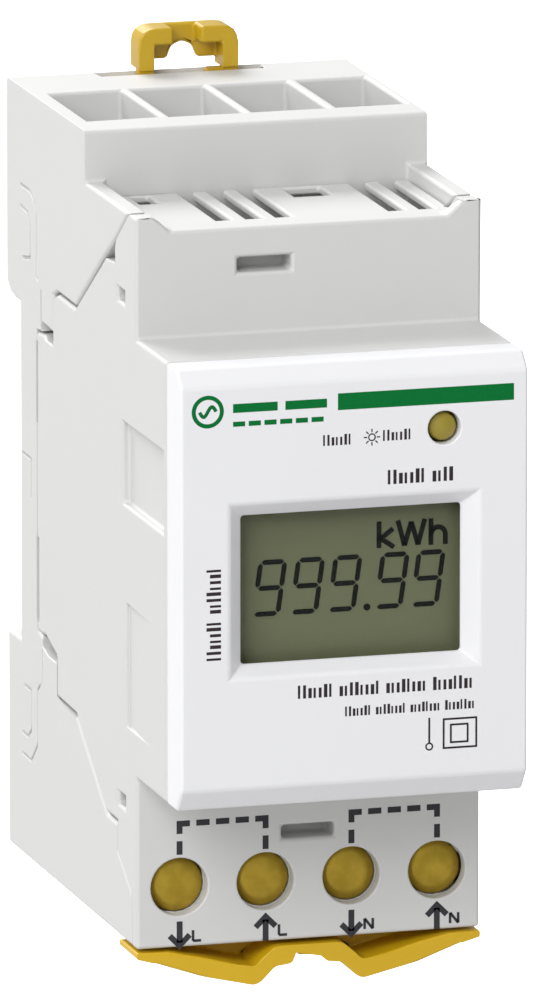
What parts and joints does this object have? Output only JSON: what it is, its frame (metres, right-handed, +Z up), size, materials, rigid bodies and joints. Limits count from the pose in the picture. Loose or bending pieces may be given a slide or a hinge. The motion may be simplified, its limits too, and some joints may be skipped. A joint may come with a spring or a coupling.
{
  "type": "rail-mounted energy meter",
  "caption": "Narrow rail-mounted electricity meter: stepped housing with raised front, digital readout window, pulse lamp, recessed terminal clamp screws below and sliding rail clips.",
  "frame": {"origin": "centre of the rail seat, the flat rear face that bears on the front of a 35 mm mounting rail", "axes": "+Y back towards the rail and the panel behind it, +Z up along the terminals-to-top direction, +X to the right seen from the front"},
  "size_m": [0.036, 0.0665, 0.0894],
  "materials": {
    "housing_plastic": "light grey moulded plastic, fine matt texture",
    "cover_plastic": "white moulded plastic, satin",
    "clip_plastic": "golden yellow moulded plastic, satin",
    "clear_window": "clear polycarbonate",
    "lcd_glass": "olive green display glass",
    "amber_lens": "olive amber translucent plastic",
    "frame_plastic": "black moulded plastic",
    "milky_plastic": "milky diffusing plastic",
    "elastomer": "layered conductive rubber",
    "circuit_board": "green solder mask",
    "chip_epoxy": "black moulded epoxy",
    "crystal_can": "plated steel can",
    "film_capacitor_box": "yellow potted box",
    "varistor_coat": "blue lacquer",
    "resistor_body": "green cement coat",
    "copper_bar": "bare copper",
    "shunt_alloy": "bare resistance alloy",
    "clamp_steel": "bright zinc-plated steel",
    "screw_brass": "olive yellow passivated plating",
    "carrier_plastic": "natural white moulded plastic",
    "lead_insulation": "blue insulation"
  },
  "bodies": {
    "meter_body": {"rear_housing": "housing_plastic", "front_housing": "housing_plastic", "front_cover": "cover_plastic", "display_lens": "clear_window", "lcd_cell": "lcd_glass", "lcd_holder": "frame_plastic", "light_guide": "milky_plastic", "backlight_led": "milky_plastic", "upper_elastomer": "elastomer", "lower_elastomer": "elastomer", "display_board": "circuit_board", "pulse_led": "milky_plastic", "pulse_lens": "amber_lens", "microcontroller": "chip_epoxy", "memory_chip": "chip_epoxy", "clock_crystal": "crystal_can", "board_link_header": "frame_plastic", "main_board": "circuit_board", "film_capacitor": "film_capacitor_box", "surge_varistor": "varistor_coat", "storage_capacitor": "chip_epoxy", "filter_capacitor": "chip_epoxy", "choke": "chip_epoxy", "metering_chip": "chip_epoxy", "supply_chip": "chip_epoxy", "bridge_rectifier": "chip_epoxy", "fusible_resistor": "resistor_body", "reference_crystal": "crystal_can", "line_in_bar": "copper_bar", "line_out_bar": "copper_bar", "current_shunt": "shunt_alloy", "neutral_bar": "copper_bar", "terminal_carrier": "carrier_plastic", "neutral_lead": "lead_insulation", "sense_lead": "lead_insulation"},
    "upper_rail_clip": {"upper_clip": "clip_plastic"},
    "lower_rail_clip": {"lower_clip": "clip_plastic"},
    "screw_1": {"terminal_screw_1": "screw_brass"},
    "clamp_1": {"clamp_cage_1": "clamp_steel"},
    "screw_2": {"terminal_screw_2": "screw_brass"},
    "clamp_2": {"clamp_cage_2": "clamp_steel"},
    "screw_3": {"terminal_screw_3": "screw_brass"},
    "clamp_3": {"clamp_cage_3": "clamp_steel"},
    "screw_4": {"terminal_screw_4": "screw_brass"},
    "clamp_4": {"clamp_cage_4": "clamp_steel"}
  },
  "joints": [
    {"name": "upper_clip_slide", "type": "slide", "parent": "meter_body", "child": "upper_rail_clip", "axis": [0, 0, 1], "range_m": [0, 0.004]},
    {"name": "lower_clip_slide", "type": "slide", "parent": "meter_body", "child": "lower_rail_clip", "axis": [0, 0, -1], "range_m": [0, 0.004]},
    {"name": "screw_1_turn", "type": "hinge", "parent": "meter_body", "child": "screw_1", "pos_m": [-0.0135, -0.0386, -0.03395], "axis": [0, 1, 0], "range_deg": [0, 2418]},
    {"name": "clamp_1_slide", "type": "slide", "parent": "meter_body", "child": "clamp_1", "axis": [0, -1, 0], "range_m": [0, 0.0047]},
    {"name": "screw_2_turn", "type": "hinge", "parent": "meter_body", "child": "screw_2", "pos_m": [-0.0045, -0.0386, -0.03395], "axis": [0, 1, 0], "range_deg": [0, 2418]},
    {"name": "clamp_2_slide", "type": "slide", "parent": "meter_body", "child": "clamp_2", "axis": [0, -1, 0], "range_m": [0, 0.0047]},
    {"name": "screw_3_turn", "type": "hinge", "parent": "meter_body", "child": "screw_3", "pos_m": [0.0045, -0.0386, -0.03395], "axis": [0, 1, 0], "range_deg": [0, 2418]},
    {"name": "clamp_3_slide", "type": "slide", "parent": "meter_body", "child": "clamp_3", "axis": [0, -1, 0], "range_m": [0, 0.0047]},
    {"name": "screw_4_turn", "type": "hinge", "parent": "meter_body", "child": "screw_4", "pos_m": [0.0135, -0.0386, -0.03395], "axis": [0, 1, 0], "range_deg": [0, 2418]},
    {"name": "clamp_4_slide", "type": "slide", "parent": "meter_body", "child": "clamp_4", "axis": [0, -1, 0], "range_m": [0, 0.0047]}
  ],
  "couplings": [
    {"joint": "screw_1_turn", "follows": "clamp_1_slide", "rad_per_m": 8976},
    {"joint": "screw_2_turn", "follows": "clamp_2_slide", "rad_per_m": 8976},
    {"joint": "screw_3_turn", "follows": "clamp_3_slide", "rad_per_m": 8976},
    {"joint": "screw_4_turn", "follows": "clamp_4_slide", "rad_per_m": 8976}
  ]
}
